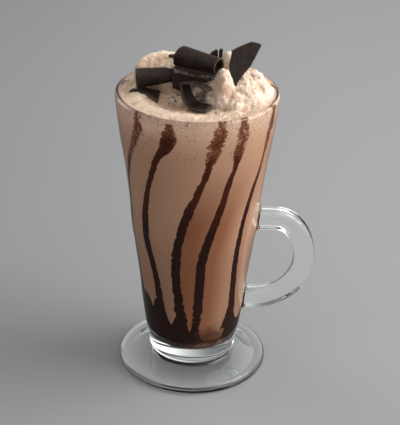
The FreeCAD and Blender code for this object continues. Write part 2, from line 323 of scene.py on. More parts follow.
sink = 0.15  # how far the contents reach into the glass, which leaves no air between them
drink_color, cloudy_color = (0.74, 0.435, 0.29), (0.68, 0.40, 0.265)
low_color, stained_color = (0.575, 0.315, 0.20), (0.42, 0.165, 0.078)
band_color, foam_color = (0.84, 0.53, 0.375), (0.93, 0.72, 0.57)
speck_color, settled_color = (0.27, 0.12, 0.065), (0.12, 0.042, 0.024)
froth_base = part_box("froth")[0][2] / mm
drink_rows, drink_steps = 80, 240


def levels(material, value, low, high, out_low=0.0, out_high=1.0):
    """Soft step of a value between two levels."""
    return add_node(
        material, "ShaderNodeMapRange", {"interpolation_type": "SMOOTHSTEP"}, Value=value,
        From_Min=low, From_Max=high, To_Min=out_low, To_Max=out_high,
    ).outputs[0]


def blended(material, factor, first, second):
    """Mix of two colours, each a colour or a socket."""
    node = material.node_tree.nodes.new("ShaderNodeMix")
    node.data_type = "RGBA"
    sockets = (node.inputs[0], node.inputs[6], node.inputs[7])
    for socket, value in zip(sockets, (factor, first, second)):
        if isinstance(value, bpy.types.NodeSocket):
            material.node_tree.links.new(value, socket)
        elif socket.type == "RGBA":
            socket.default_value = (*value, 1)
        else:
            socket.default_value = value
    return node.outputs[2]


def math_node(material, operation, first, second=0.0):
    """Sum, product or other operation of two values."""
    node = add_node(material, "ShaderNodeMath", {"operation": operation})
    for socket, value in zip(node.inputs, (first, second)):
        if isinstance(value, bpy.types.NodeSocket):
            material.node_tree.links.new(value, socket)
        else:
            socket.default_value = value
    return node.outputs[0]


def roughened(material, value, grain, amount):
    """A value made uneven by a grain of 0 to 1, up and down alike."""
    uneven = math_node(material, "MULTIPLY", math_node(material, "SUBTRACT", grain, 0.5), amount)
    return math_node(material, "ADD", value, uneven)


def share(value, none, full):
    """How far a value is from none to full, held between 0 and 1."""
    return max(0.0, min(1.0, (value - none) / (full - none)))


def angle_of(point):
    """Angle of a point round the axis, in degrees."""
    return math.degrees(math.atan2(point.y, point.x))


def wall_radius(height):
    """Radius of the inside of the bowl, above its rounded corner."""
    foot = taper(floor_height) - wall_foot
    part = (height - floor_height) / (lip_height - floor_height)
    return foot + (rim_radius - wall - foot) * part


def through(points, at):
    """Value of a smooth curve at a position, through points (position, value)."""
    points = sorted(points)
    if at <= points[0][0]:
        return points[0][1]
    if at >= points[-1][0]:
        return points[-1][1]
    after = next(i for i, point in enumerate(points) if point[0] > at)
    (x0, y0), (x1, y1) = points[after - 1], points[after]
    before, beyond = points[max(after - 2, 0)], points[min(after + 1, len(points) - 1)]
    slope0 = (y1 - before[1]) / (x1 - before[0])
    slope1 = (beyond[1] - y0) / (beyond[0] - x0)
    part, span = (at - x0) / (x1 - x0), x1 - x0
    bend = part * (1 - part) * span
    return (
        y0 + (y1 - y0) * part * part * (3 - 2 * part)
        + bend * (slope0 * (1 - part) - slope1 * part)
    )


# Streaks of syrup on the wall: height, angle round the axis (-90 is the front, 0 the
# handle's side) and width. "solid_below" is the height under which a streak is unbroken,
# and "stain" how much it colours the milkshake on its right, and how far round in degrees.
streaks = {
    "left": {
        "course": ((149, -136, 4.0), (141, -138, 5.6), (132, -145, 4.2), (120, -156, 3.0),
                   (104, -166, 2.6), (80, -170, 3.2), (50, -166, 3.6), (36, -163, 4.0)),
        "solid_below": 112, "stain": (0.1, 15),
    },
    "left_front": {
        "course": ((149, -110, 2.5), (143, -110, 7.0), (136, -113, 7.2), (129, -121, 4.2),
                   (120, -127, 3.4), (108, -134, 3.4), (94, -140, 4.6), (80, -141, 4.9),
                   (67, -136, 4.4), (54, -132, 4.4), (40, -130, 5.2), (30, -129, 7.0)),
        "solid_below": 132, "stain": (0.12, 15),
    },
    "front": {
        "course": ((150, -72.5, 4.6), (144, -73, 6.4), (137, -76, 7.6), (130, -79, 4.8),
                   (124, -81, 3.3), (112, -88, 4.1), (100, -96, 4.9), (88, -102.5, 4.6),
                   (76, -107, 4.9), (62, -108.5, 4.7), (48, -106.5, 4.9), (34, -103, 6.6)),
        "solid_below": 121, "stain": (1.0, 42),
    },
    "right_front": {
        "course": ((150, -54.5, 3.6), (141, -54.5, 6.4), (132, -57, 5.0), (124.5, -58.5, 2.4),
                   (118, -61.5, 3.2), (108, -65, 3.7), (96, -70.5, 4.2), (84, -77, 4.6),
                   (72, -82, 4.8), (56, -83.3, 4.7), (42, -84.5, 4.5), (28, -86, 3.0)),
        "solid_below": 121, "stain": (0.92, 30),
    },
    "right": {
        "course": ((149, -20, 4.2), (141, -21.5, 5.6), (132, -25, 3.6), (124, -26.5, 1.8),
                   (116, -29.5, 2.6), (106, -34.5, 3.4), (94, -39.5, 3.1), (80, -43.5, 3.3),
                   (66, -43.5, 3.7), (50, -41, 4.2), (38, -39.5, 5.6), (28, -42, 9.0)),
        "solid_below": 108, "stain": (0.35, 15),
    },
    "handle_side": {
        "course": ((149, 22, 3.0), (140, 20, 6.5), (126, 15, 3.4), (104, 5, 3.8),
                   (82, -3, 4.6), (60, -4, 4.4), (40, 1, 4.8), (28, 4, 6.0)),
        "solid_below": 118, "stain": (0.6, 25),
    },
    "back_right": {
        "course": ((150, 68, 3.4), (142, 66, 6.8), (130, 60, 4.4), (114, 52, 3.6),
                   (92, 43, 4.8), (70, 40, 4.6), (48, 44, 4.4), (30, 46, 5.6)),
        "solid_below": 122, "stain": (0.5, 25),
    },
    "back": {
        "course": ((149, 112, 2.8), (140, 110, 7.4), (128, 105, 4.0), (108, 94, 3.8),
                   (86, 86, 4.8), (62, 85, 4.6), (42, 90, 4.8), (30, 92, 6.0)),
        "solid_below": 126, "stain": (0.8, 32),
    },
    "back_left": {
        "course": ((150, 158, 3.6), (141, 156, 6.6), (129, 151, 4.4), (112, 140, 3.4),
                   (88, 131, 4.6), (64, 130, 4.6), (44, 134, 4.6), (34, 136, 5.4)),
        "solid_below": 120, "stain": (0.4, 20),
    },
}
# How thin the syrup lies on the wall, so that the milkshake glows through: angle and share.
pool_thin = (
    (-180, 0), (-112, 0), (-97, 0.35), (-84, 0.75), (-66, 1), (-50, 0.75), (-36, 0.35),
    (-20, 0.15), (0, 0), (180, 0),
)
stain_fades, stain_ends = 94, 128  # heights
settled_ends, settled_full = 39, 25  # heights of the brown that has settled in the milkshake


def course_at(streak, height):
    """Angle in degrees and width of a streak at a height."""
    angle = through([(z, a) for z, a, w in streak["course"]], height)
    width = through([(z, w) for z, a, w in streak["course"]], height)
    return angle, width


def stain_at(angle, height):
    """How much syrup colours the milkshake there: strongest just right of a streak."""
    stain = 0.0
    for streak in streaks.values():
        middle = course_at(streak, height)[0]
        strength, reach = streak["stain"]
        away = ((angle - middle) % 360) / reach
        if away < 1:
            stain = max(stain, strength * min(1.0, 1.7 * (1 - away)))
    return stain * (1 - share(height, stain_fades, stain_ends))


def painted(piece, name, values):
    """Stores a number for each vertex, which the piece's material reads by name."""
    layer = piece.data.attributes.new(name, "FLOAT", "POINT")
    layer.data.foreach_set("value", values)


def stored(material, name):
    """The number that was stored for each vertex."""
    return add_node(material, "ShaderNodeAttribute", {"attribute_name": name}).outputs["Fac"]


def height_in(material, low, high):
    """Height above the table as a share, 0 at low and 1 at high."""
    place = add_node(material, "ShaderNodeTexCoord").outputs["Object"]
    split = add_node(material, "ShaderNodeSeparateXYZ", Vector=place)
    return levels(material, split.outputs["Z"], low * mm, high * mm)


def milkshake_color(material):
    """Blended milk: cloudy, browner at the bottom, and full of froth and specks at the top."""
    cloudy = levels(material, clouds(material, 0.05, detail=2), 0.3, 0.7, 0.0, 0.35)
    base = blended(material, cloudy, drink_color, cloudy_color)
    base = blended(material, height_in(material, 100, 58), base, low_color)
    grain = clouds(material, 0.75, detail=4, roughness=0.7)
    edge = roughened(material, height_in(material, 118, 150), grain, 0.9)
    color = blended(material, levels(material, edge, 0.25, 0.95), base, band_color)
    foam = levels(material, clouds(material, 1.1, detail=2), 0.48, 0.62)
    foam_high = math_node(material, "MULTIPLY", foam, height_in(material, 139, 149))
    color = blended(material, foam_high, color, foam_color)
    patches = levels(material, clouds(material, 0.11, detail=2), 0.40, 0.60)
    speckle = levels(material, clouds(material, 0.85, detail=3, roughness=0.62), 0.585, 0.655)
    near_top = math_node(material, "MULTIPLY", speckle, height_in(material, 121, 141))
    dotted = math_node(material, "MULTIPLY", near_top, levels(material, patches, 0, 1, 0.25, 0.8))
    return blended(material, dotted, color, speck_color)


def milkshake_material():
    """The milkshake, with the stain of syrup beside each streak."""
    material = new_material("milkshake", drink_color, Roughness=0.5, Specular_IOR_Level=0.0)
    color = blended(material, stored(material, "stain"), milkshake_color(material), stained_color)
    grain = clouds(material, 0.3, detail=4, roughness=0.7)
    settled = roughened(material, stored(material, "settled"), grain, 0.9)
    brown = levels(material, settled, 0.3, 0.95, 0.0, 0.9)
    connect(material, blended(material, brown, color, settled_color), "Base Color")
    return material


drink_outline = [(r, z) for r, z in inner_wall(sink) if z < floor_height + floor_corner]
rise = froth_base - drink_outline[-1][1]
for row in range(1, drink_rows + 1):
    height = froth_base - rise * (1 - row / drink_rows)
    drink_outline.append((wall_radius(height) + sink, height))
milkshake = loose_object(spun([*drink_outline, (0, froth_base)], drink_steps), "milkshake")
drink_points = [vert.co for vert in milkshake.data.vertices]
painted(milkshake, "stain", [stain_at(angle_of(point), point.z) for point in drink_points])
painted(milkshake, "settled", [
    share(point.z, settled_ends, settled_full) * through(pool_thin, angle_of(point))
    for point in drink_points
])
drink_finish = milkshake_material()
as_piece(milkshake, drink_finish)
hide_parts("milkshake")

# --- Syrup ------------------------------------------------------------------------------
# Dark chocolate syrup, poured in first. It fills the bottom in a deep pool, runs up into
# each streak, and the milkshake comes down into it in tongues between them.

syrup_color = (0.030, 0.0075, 0.0035)
thin_color, veiled_color = (0.125, 0.045, 0.022), (0.30, 0.155, 0.095)
syrup_sink = sink + 0.09  # a little further into the wall than the milkshake
pool_rows, pool_depth = 26, 1.2
# Edge of the pool on the wall: angle and height. Low points are tips of the tongues.
pool_edge = (
    (-180, 43), (-166, 45), (-152, 44.5), (-146, 41.5), (-143.5, 38.5), (-137, 45),
    (-128, 40), (-122, 36.5), (-116.5, 31.5), (-112, 36), (-104, 40), (-97, 34), (-93, 28.5),
    (-89.5, 34), (-84, 33), (-80, 25.5), (-70, 20.5), (-60, 18.9), (-52, 20), (-47, 27),
    (-40, 38), (-32, 34.5), (-26, 30.5), (-20, 30), (-8, 33), (4, 38), (14, 30), (30, 28),
    (46, 38), (60, 31), (76, 30), (91, 39), (106, 33), (120, 36), (134, 43), (150, 39), (165, 45),
    (180, 43),
)


def syrup_material():
    """Syrup: near black where it is deep, red-brown and cloudy where it lies thin."""
    material = new_material("syrup", syrup_color, Roughness=0.4, Specular_IOR_Level=0.0)
    mottled = clouds(material, 0.22, detail=4, roughness=0.6)
    thin = roughened(material, stored(material, "thin"), mottled, 1.1)
    color = blended(material, levels(material, thin, 0.35, 1.15), syrup_color, thin_color)
    veil = levels(material, thin, 0.85, 1.35)
    connect(material, blended(material, veil, color, veiled_color), "Base Color")
    return material


def pool_piece():
    """Pool as a skin on floor and wall, up to its wavy edge, thickened inwards."""
    outline = inner_wall(syrup_sink)
    floor_points = [point for point in outline if point[1] < floor_height + floor_corner - 0.2]
    start = floor_points[-1][1]
    bm = spun(floor_points, drink_steps)
    rim = [vert for vert in bm.verts if abs(vert.co.z - start) < 1e-3]
    edges = [edge for edge in bm.edges if all(vert in rim for vert in edge.verts)]
    for row in range(1, pool_rows + 1):
        grown = bmesh.ops.extrude_edge_only(bm, edges=edges)["geom"]
        edges = [item for item in grown if isinstance(item, bmesh.types.BMEdge)]
        edges = [edge for edge in edges if len(edge.link_faces) == 1]
        for vert in {vert for edge in edges for vert in edge.verts}:
            angle = angle_of(vert.co)
            ragged = 0.5 * noise.noise(Vector((angle * 0.45, 0, 3)))
            top = max(through(pool_edge, angle) + ragged, start + 0.3)
            height = start + (top - start) * row / pool_rows
            radius = wall_radius(height) + syrup_sink
            vert.co = Vector((vert.co.x, vert.co.y, 0)).normalized() * radius
            vert.co.z = height
    bmesh.ops.recalc_face_normals(bm, faces=bm.faces)
    pool = loose_object(bm, "syrup_pool")
    thick = pool.modifiers.new("depth", "SOLIDIFY")
    thick.thickness = pool_depth
    thick.offset = -1
    with_modifiers(pool)
    return pool


def thin_at(angle, height):
    """How thin the syrup is there: thinnest at the front of the bowl's bottom corner."""
    low = share(height, 23, 19)
    front = max(0.0, 1 - abs(angle + 68) / 50) ** 0.5
    return min(1.0, through(pool_thin, angle) * 0.65 + 0.7 * low * front)


syrup_finish = syrup_material()
pool = pool_piece()
painted(pool, "thin", [thin_at(angle_of(vert.co), vert.co.z) for vert in pool.data.vertices])
as_piece(pool, syrup_finish)
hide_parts("syrup")

# --- Streaks ----------------------------------------------------------------------------
# The same syrup, squirted round the glass before it was filled. Each streak has run down
# the wall, thin and broken where it began and thicker lower down, with a rough edge.

film_color = (0.23, 0.072, 0.033)
run_color, run_low_color = (0.085, 0.016, 0.005), (0.030, 0.0075, 0.004)
streak_depth, streak_row, streak_columns = 0.35, 0.32, 14  # thickness, row's height, columns
streak_sink = sink + 0.07  # between the milkshake's surface and the pool's
ragged_over = 14  # height over which a streak breaks up, or spreads out at its foot


def streak_material():
    """Syrup on the wall: broken and red-brown where thin, dark where it has run together."""
    material = new_material("streaks", syrup_color, Roughness=0.4, Specular_IOR_Level=0.0)
    grain = clouds(material, 0.85, detail=5, roughness=0.75)
    blots = clouds(material, 0.22, detail=2)
    uneven = math_node(
        material, "ADD", math_node(material, "MULTIPLY", grain, 1.7),
        math_node(material, "MULTIPLY", blots, 0.7),
    )
    cover = math_node(
        material, "ADD", stored(material, "cover"), math_node(material, "SUBTRACT", uneven, 1.2)
    )
    film = blended(material, levels(material, cover, 0.05, 0.4), milkshake_color(material), film_color)
    run = blended(material, height_in(material, 112, 84), run_color, run_low_color)
    color = blended(material, levels(material, cover, 0.42, 0.85), film, run)
    connect(material, color, "Base Color")
    return material


def ribbon(name, streak, seed):
    """One streak, laid on the wall as a strip with a rough edge."""
    course = streak["course"]
    top, bottom = course[0][0], course[-1][0]
    rows = int((top - bottom) / streak_row)
    bm = bmesh.new()
    bmesh.ops.create_grid(bm, x_segments=streak_columns, y_segments=rows, size=0.5)
    cover = bm.verts.layers.float.new("cover")
    for vert in bm.verts:
        across, along = vert.co.x * 2, vert.co.y + 0.5
        height = bottom + (top - bottom) * along
        angle, width = course_at(streak, height)
        side = math.copysign(1, across)
        teeth = 0.7 - 2.2 * abs(noise.noise(Vector((height * 0.7, side * 7, seed))))
        coarse = noise.noise(Vector((height * 0.28, side * 7, seed + 9)))
        loose = share(height, streak["solid_below"], streak["solid_below"] + ragged_over)
        low = share(height, 46, 46 - ragged_over)
        half = width / 2 * (0.9 + 0.14 * coarse)
        half = half + (0.5 + 0.45 * loose + 0.6 * low) * teeth + 0.2 * loose
        radius = wall_radius(height) + streak_sink
        turn = math.radians(angle) + across * half / radius
        end = share(height, top, top - 3.5)
        edge = 1 - abs(across) ** 3
        body = 0.52 - 0.14 * loose + (0.48 + 0.14 * loose) * edge
        vert[cover] = (1.3 - 0.84 * loose) * body * (0.68 + 0.32 * end)
        vert.co = Vector((radius * math.cos(turn), radius * math.sin(turn), height))
    bmesh.ops.recalc_face_normals(bm, faces=bm.faces)
    if sum(face.normal.x * face.calc_center_median().x for face in bm.faces) < 0:
        bmesh.ops.reverse_faces(bm, faces=bm.faces)
    return loose_object(bm, name)


streak_finish = streak_material()
for seed, (name, streak) in enumerate(streaks.items()):
    strip = ribbon("streak_" + name, streak, seed * 5.3)
    film = strip.modifiers.new("depth", "SOLIDIFY")
    film.thickness = streak_depth
    film.offset = -1
    with_modifiers(strip)
    as_piece(strip, streak_finish)

# --- Froth ------------------------------------------------------------------------------
# Milk froth and cream, spooned onto the drink until it stood over the lip: level at the
# wall, with soft dollops and one sharp ridge where the spoon pulled away.

froth_level = rim_height - 1.1  # at the wall
froth_rings, froth_steps = 124, 300
# The second colour of each pair is painted shade, for the hollows between the curds.
ivory_color, ivory_painted_shade = (0.91, 0.79, 0.655), (0.66, 0.46, 0.32)
tan_color, tan_painted_shade = (0.90, 0.70, 0.53), (0.50, 0.33, 0.22)
# The smudge colour is both chocolate rubbed in and painted shade under the pile of chocolate.
burst_color, fleck_color, smudge_and_shade_color = (0.33, 0.20, 0.13), (0.46, 0.24, 0.14), (0.17, 0.11, 0.08)
# Dollops: centre, rise above the level, half lengths, fullness, roughness of the surface
dollops = (
    ((17.0, 0.0), 11.8, (20.5, 22.0), 0.6, 1.0),
    ((12.0, -10.0), 16.3, (5.9, 8.6), 0.68, 0.9),
    ((15.5, 8.0), 18.5, (8.0, 8.0), 1.0, 0.7),
    ((-14.5, 13.0), 14.2, (15.8, 12.8), 0.2, 0.5),
    ((0.0, 3.0), 13.5, (13.0, 10.0), 0.6, 0.5),
    ((-2.0, -11.0), 2.5, (12.0, 11.0), 1.0, 0.5),
)
dollop_blend = 5  # the higher, the sharper the crease between two dollops
froth_lean = 0.6  # rise of the level towards the handle's side
plain_rough, plain_weight = 0.3, 1e-3  # roughness of the level froth, which a dollop outweighs
ring_radius, ring_width, ring_rise = 29.5, 3.5, 1.1  # swell inside the rim, in front
dip_radius, dip_width = 20, 5  # and the dip inside that
# Where chocolate has smudged the froth, with painted shade under the pile of chocolate: centre, radius
smudges_and_shade = (
    ((1.0, -12.5), 6.0), ((-4.0, -5.0), 7.0), ((0.5, -18.0), 5.0), ((-21.0, -2.0), 4.5),
    ((4.0, -6.0), 5.5), ((-1.0, 0.0), 7.5),
)


def froth_form(x, y):
    """Height of the froth and how rough it is, before its relief."""
    heaped, rough, weight = 0.0, plain_rough * plain_weight, plain_weight
    sway = noise.noise_vector(Vector((x, y, 0)) * 0.11) * 0.13
    for (centre_x, centre_y), rise, (half_x, half_y), fullness, roughness in dollops:
        shift = sway * min(half_x, half_y)
        away = ((x - centre_x + shift.x) / half_x) ** 2 + ((y - centre_y + shift.y) / half_y) ** 2
        if away < 1:
            pull = (rise * (1 - away) ** fullness) ** dollop_blend
            heaped += pull
            rough += pull * roughness
            weight += pull
    height = froth_level + froth_lean * x / rim_radius + heaped ** (1 / dollop_blend)
    return height, rough / weight


def froth_relief(x, y, height, rough):
    """Curds, folds and burst bubbles on the froth, in millimetres above its form."""
    place = Vector((x, y, height * 0.8))
    folds = noise.turbulence(place * 0.16, 3, False) - 0.6
    curds = noise.noise(place * 0.42) + 0.5 * noise.noise(place * 0.95)
    fine = noise.noise(place * 2.1)
    radius, angle = math.hypot(x, y), math.atan2(y, x)
    calm = min(1.0, (wall_radius(froth_level) - radius) / 3)
    front = 0.5 - 0.5 * math.cos(angle - math.radians(25))
    swell = ring_rise * math.exp(-(((radius - ring_radius) / ring_width) ** 2))
    dip = math.exp(-(((radius - dip_radius) / dip_width) ** 2))
    return front * (swell - dip) + (0.15 + rough * 1.15) * (folds + 0.75 * curds) * calm + 0.12 * fine


def froth_piece():
    """Froth from where it meets the milkshake up to its heaped top."""
    radius = wall_radius(froth_level) - 0.05
    outline = [(0, froth_base), (wall_radius(froth_base) + sink, froth_base)]
    outline.append((wall_radius(froth_level) + 0.02, froth_level - 0.4))
    outline += [(radius * (1 - i / froth_rings), froth_level) for i in range(froth_rings + 1)]
    bm = spun(outline, froth_steps)
    curd = bm.verts.layers.float.new("curd")
    cream = bm.verts.layers.float.new("cream")
    for vert in bm.verts:
        if vert.co.z > froth_level - 0.1:
            x, y = vert.co.x, vert.co.y
            height, rough = froth_form(x, y)
            lift = froth_relief(x, y, height, rough)
            vert.co.z = max(height + lift, froth_level - 0.9)
            vert[curd] = lift
            # The cream share is whiter where the froth is heaped higher, with painted light on the right
            # side and painted shade on the left.
            side = x / rim_radius
            heap_with_painted_light = max(0.0, height - froth_level) / 5 + 0.25 * max(0.0, side)
            vert[cream] = min(1.0, heap_with_painted_light) * (1 + 1.3 * min(0.0, side))
    return loose_object(bm, "froth_heap")


def froth_material():
    """Cream, flecked with cocoa: ivory on the curds, tan milkshake in the hollows, and painted shade
    deep in the hollows.
    """
    material = new_material("froth", ivory_color, Roughness=0.62, Specular_IOR_Level=0.3)
    surface = material.node_tree.nodes["Principled BSDF"]
    surface.inputs["Subsurface Weight"].default_value = 0.6
    surface.inputs["Subsurface Radius"].default_value = (1.0, 0.6, 0.4)
    surface.inputs["Subsurface Scale"].default_value = 2.5 * mm
    grain = clouds(material, 0.55, detail=5, roughness=0.7)
    lift = roughened(material, stored(material, "curd"), grain, 3.4)
    # Painted shade: the froth is darker in the hollows of its curds.
    ivory = blended(material, levels(material, lift, -1.7, 0.3), ivory_painted_shade, ivory_color)
    tan = blended(material, levels(material, lift, -1.4, 0.9), tan_painted_shade, tan_color)
    # Ivory against tan, which also carries the painted light on the right and painted shade on the left.
    creamy_with_painted_light = roughened(material, stored(material, "cream"), clouds(material, 0.12, detail=3), 1.2)
    color = blended(material, levels(material, creamy_with_painted_light, 0.1, 0.75), tan, ivory)
    bubbles = add_node(
        material, "ShaderNodeTexVoronoi", Scale=0.85 / mm,
        Vector=add_node(material, "ShaderNodeTexCoord").outputs["Object"],
    ).outputs["Distance"]
    burst = levels(material, bubbles, 0.34, 0.1, 0.0, 0.55)
    burst = math_node(material, "MULTIPLY", burst, levels(material, creamy_with_painted_light, 0.85, 0.2))
    color = blended(material, burst, color, burst_color)
    flecks = levels(material, clouds(material, 0.8, detail=3, roughness=0.65), 0.58, 0.68)
    patches = levels(material, clouds(material, 0.09, detail=2), 0.42, 0.62)
    flecked = math_node(material, "MULTIPLY", flecks, math_node(material, "MULTIPLY", patches, 0.75))
    color = blended(material, flecked, color, fleck_color)
    # Brown smudges of chocolate, and painted shade under the pile of chocolate.
    rubbed_and_shaded = roughened(material, stored(material, "smudge_and_shade"), grain, 1.6)
    color = blended(material, levels(material, rubbed_and_shaded, 0.2, 0.75, 0.0, 0.93), color, smudge_and_shade_color)
    connect(material, color, "Base Color")
    coarse = math_node(material, "ADD", math_node(material, "MULTIPLY", bubbles, 0.7), grain)
    calm = levels(material, creamy_with_painted_light, 0.9, 0.2, 0.45, 1.0)
    relief(material, math_node(material, "MULTIPLY", coarse, calm), 0.5)
    return material


def smudge_and_shade_at(x, y):
    """How much chocolate is rubbed into the froth there, with painted shade under the pile."""
    return max(
        math.exp(-((x - u) ** 2 + (y - v) ** 2) / (radius / 1.4) ** 2) for (u, v), radius in smudges_and_shade
    )


froth_heap = froth_piece()
painted(froth_heap, "smudge_and_shade", [smudge_and_shade_at(v.co.x, v.co.y) for v in froth_heap.data.vertices])
as_piece(froth_heap, froth_material(), crease=80)
froth_heap.data.materials.append(drink_finish)
side_top, side_radius = (froth_level - 0.15) * mm, (wall_radius(froth_base) - 1) * mm
for face in froth_heap.data.polygons:
    beside_wall = abs(face.normal.z) < 0.5 and face.center.xy.length > side_radius
    if beside_wall and face.center.z < side_top:
        face.material_index = 1
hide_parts("froth")

# --- Chocolate --------------------------------------------------------------------------
# Curls and broken bits shaved off a bar of dark chocolate and dropped on the froth. They
# are nearly matt and faintly ridged by the blade, with a painted highlight on the ridges, and
# paler where the sheet was cut or broke, partly dust and partly a painted edge highlight.

dark_color, cloud_color = (0.0125, 0.0058, 0.0042), (0.031, 0.0165, 0.0115)
ridge_highlight_color, broken_edge_and_highlight_color = (0.052, 0.031, 0.022), (0.105, 0.078, 0.062)
voxel = 0.24  # of the even mesh that each piece is made over with
edge_spacing, sharp_edge = 0.2, math.radians(38)
# The pale reach is dust on a broken edge together with a painted highlight where the edge catches the
# light.
chip_reach, pale_reach = 0.8, 0.85  # how far chips and dust reach from a broken edge
ripple_depth, bump_depth, chip_depth = 0.05, 0.07, 0.42
# Axis of each curl, and direction of each flat bit's ridges, where the CAD has that piece
curl_axes = {
    "curl_centre": ((-9.0, 4.1, 166.9), (9.6, -9.0, 167.0)),
    "curl_left": ((-29.8, 1.4, 156.0), (-11.1, 4.0, 157.2)),
    "curl_front": ((-0.9, -22.0, 158.0), (2.9, -14.4, 157.0)),
    "shard": ((17.7, -10.0, 158.9), (24.0, -3.0, 174.0)),
    "flake_left": ((-33.4, -1.2, 150.0), (-18.0, 1.0, 150.0)),
    "flake_under": ((-12.0, -1.5, 156.0), (5.0, -6.5, 156.0)),
    "flake_back": ((4.9, 9.0, 160.0), (7.0, 9.5, 169.0)),
    "flake_upright": ((10.0, 9.0, 162.0), (10.5, 9.2, 170.0)),
    "sliver": ((-15.4, 12.0, 163.8), (-8.0, 13.0, 163.8)),
}


def chocolate_material():
    """Dark chocolate: faint ridges, clouding, pale dusty broken edges; ridges and edges painted lighter
    as highlights.
    """
    material = new_material("chocolate", dark_color, Roughness=0.5, Specular_IOR_Level=0.22)
    cloudy = clouds(material, 0.28, detail=4, roughness=0.6)
    color = blended(material, levels(material, cloudy, 0.35, 0.68), dark_color, cloud_color)
    blade = add_node(material, "ShaderNodeAttribute", {"attribute_name": "blade"}).outputs["Vector"]
    squeezed = add_node(material, "ShaderNodeMapping", Vector=blade, Scale=(2.2, 0.16, 1))
    ridges = add_node(
        material, "ShaderNodeTexNoise", Vector=squeezed.outputs[0], Scale=1.0, Detail=4, Roughness=0.6
    ).outputs["Fac"]
    # Painted highlight along the blade's ridges.
    color = blended(material, levels(material, ridges, 0.5, 0.75, 0.0, 0.6), color, ridge_highlight_color)
    grain = clouds(material, 0.9, detail=4, roughness=0.7)
    # Pale edges: dust where the sheet broke, and a painted highlight on the edges.
    worn_and_lit = roughened(material, stored(material, "broken_and_lit_edge"), grain, 1.1)
    color = blended(material, levels(material, worn_and_lit, 0.42, 0.95), color, broken_edge_and_highlight_color)
    connect(material, color, "Base Color")
    connect(material, levels(material, cloudy, 0.3, 0.7, 0.42, 0.62), "Roughness")
    uneven = math_node(material, "ADD", ridges, math_node(material, "MULTIPLY", grain, 0.7))
    relief(material, uneven, 0.28)
    return material


def sharp_points(bm):
    """Points spread along the sharp edges of a merged mesh."""
    points = []
    for edge in bm.edges:
        if len(edge.link_faces) == 2 and edge.calc_face_angle() > sharp_edge:
            start, end = (vert.co for vert in edge.verts)
            count = max(1, int((end - start).length / edge_spacing))
            points += [start.lerp(end, i / count) for i in range(count + 1)]
    return points


def sagged(point, start, along):
    """A point of a thin curl that has sunk under the others: flat on top and leaning."""
    level = along.cross(Vector((0, 0, 1))).normalized()
    upright = level.cross(along)
    arm = point - start
    right, rise = arm.dot(level), arm.dot(upright)
    squarer = math.hypot(right, rise) / (right ** 4 + rise ** 4) ** 0.25
    right, rise = right * squarer, rise * squarer
    right = right * (1 + 0.02 * rise) - 0.3 * rise
    return start + along * arm.dot(along) + level * right + upright * (0.82 * rise - 1.0)


def shaved_piece(node, seed):
    """The CAD's piece, remeshed finely, with chipped edges and the ripple of the blade."""
    bm = bmesh.new()
    bm.from_mesh(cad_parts[node].data)
    bmesh.ops.scale(bm, vec=(1 / mm,) * 3, verts=bm.verts)
    bmesh.ops.remove_doubles(bm, verts=bm.verts, dist=1e-3)
    start, end = (Vector(point) for point in curl_axes[node])
    along = (end - start).normalized()
    if node == "curl_front":
        for vert in bm.verts:
            vert.co = sagged(vert.co, start, along)
    edge_points = sharp_points(bm)
    piece = loose_object(bm, node + "_shaved")
    remesh = piece.modifiers.new("even", "REMESH")
    remesh.mode = "VOXEL"
    remesh.voxel_size = voxel
    with_modifiers(piece)

    tree = kdtree.KDTree(len(edge_points))
    for i, point in enumerate(edge_points):
        tree.insert(point, i)
    tree.balance()
    side = along.orthogonal().normalized()
    up = along.cross(side)
    bm = bmesh.new()
    bm.from_mesh(piece.data)
    bmesh.ops.smooth_vert(
        bm, verts=bm.verts, factor=0.5, use_axis_x=True, use_axis_y=True, use_axis_z=True
    )
    bm.normal_update()
    broken_and_lit_edge, blade, moves = [], [], []
    for vert in bm.verts:
        distance = tree.find(vert.co)[2]
        arm = vert.co - start
        run = arm.dot(along)
        around = math.atan2(arm.dot(up), arm.dot(side)) * 5
        ripple = noise.noise(Vector((run * 1.6, around * 0.12, seed)))
        bumps = noise.noise(vert.co * 0.55)
        chip = max(0.0, noise.noise(vert.co * 0.8 + Vector((seed, 0, 0))))
        chip *= max(0.0, 1 - distance / chip_reach)
        moves.append(vert.normal * (ripple_depth * ripple + bump_depth * bumps - chip_depth * chip))
        broken_and_lit_edge.append(max(0.0, 1 - distance / pale_reach))
        blade += [run, around, seed]
    for vert, move in zip(bm.verts, moves):
        vert.co += move
    bm.to_mesh(piece.data)
    bm.free()
    painted(piece, "broken_and_lit_edge", broken_and_lit_edge)
    layer = piece.data.attributes.new("blade", "FLOAT_VECTOR", "POINT")
    layer.data.foreach_set("vector", blade)
    return piece


chocolate_finish = chocolate_material()
for seed, node in enumerate(curl_axes):
    piece = shaved_piece(node, seed * 3.7)
    as_piece(piece, chocolate_finish, crease=60)
    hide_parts(node)

# --- Crumbs -----------------------------------------------------------------------------
# Crumbs of the same dark chocolate, which fell off the curls as they were dropped. They lie
# loose on the froth round the pile, half sunk in it.

crumb_reach = 34  # how far from the axis they lie
# Middle of each scatter, its spread, how many and the largest size
scatters = (
    ((-6, -10), 4, 40, 0.8), ((0, -14), 4, 34, 0.7), ((-16, -6), 6, 12, 0.5),
    ((6, 6), 5, 12, 0.55), ((-5, -22), 9, 8, 0.35), ((20, -12), 8, 5, 0.35),
)


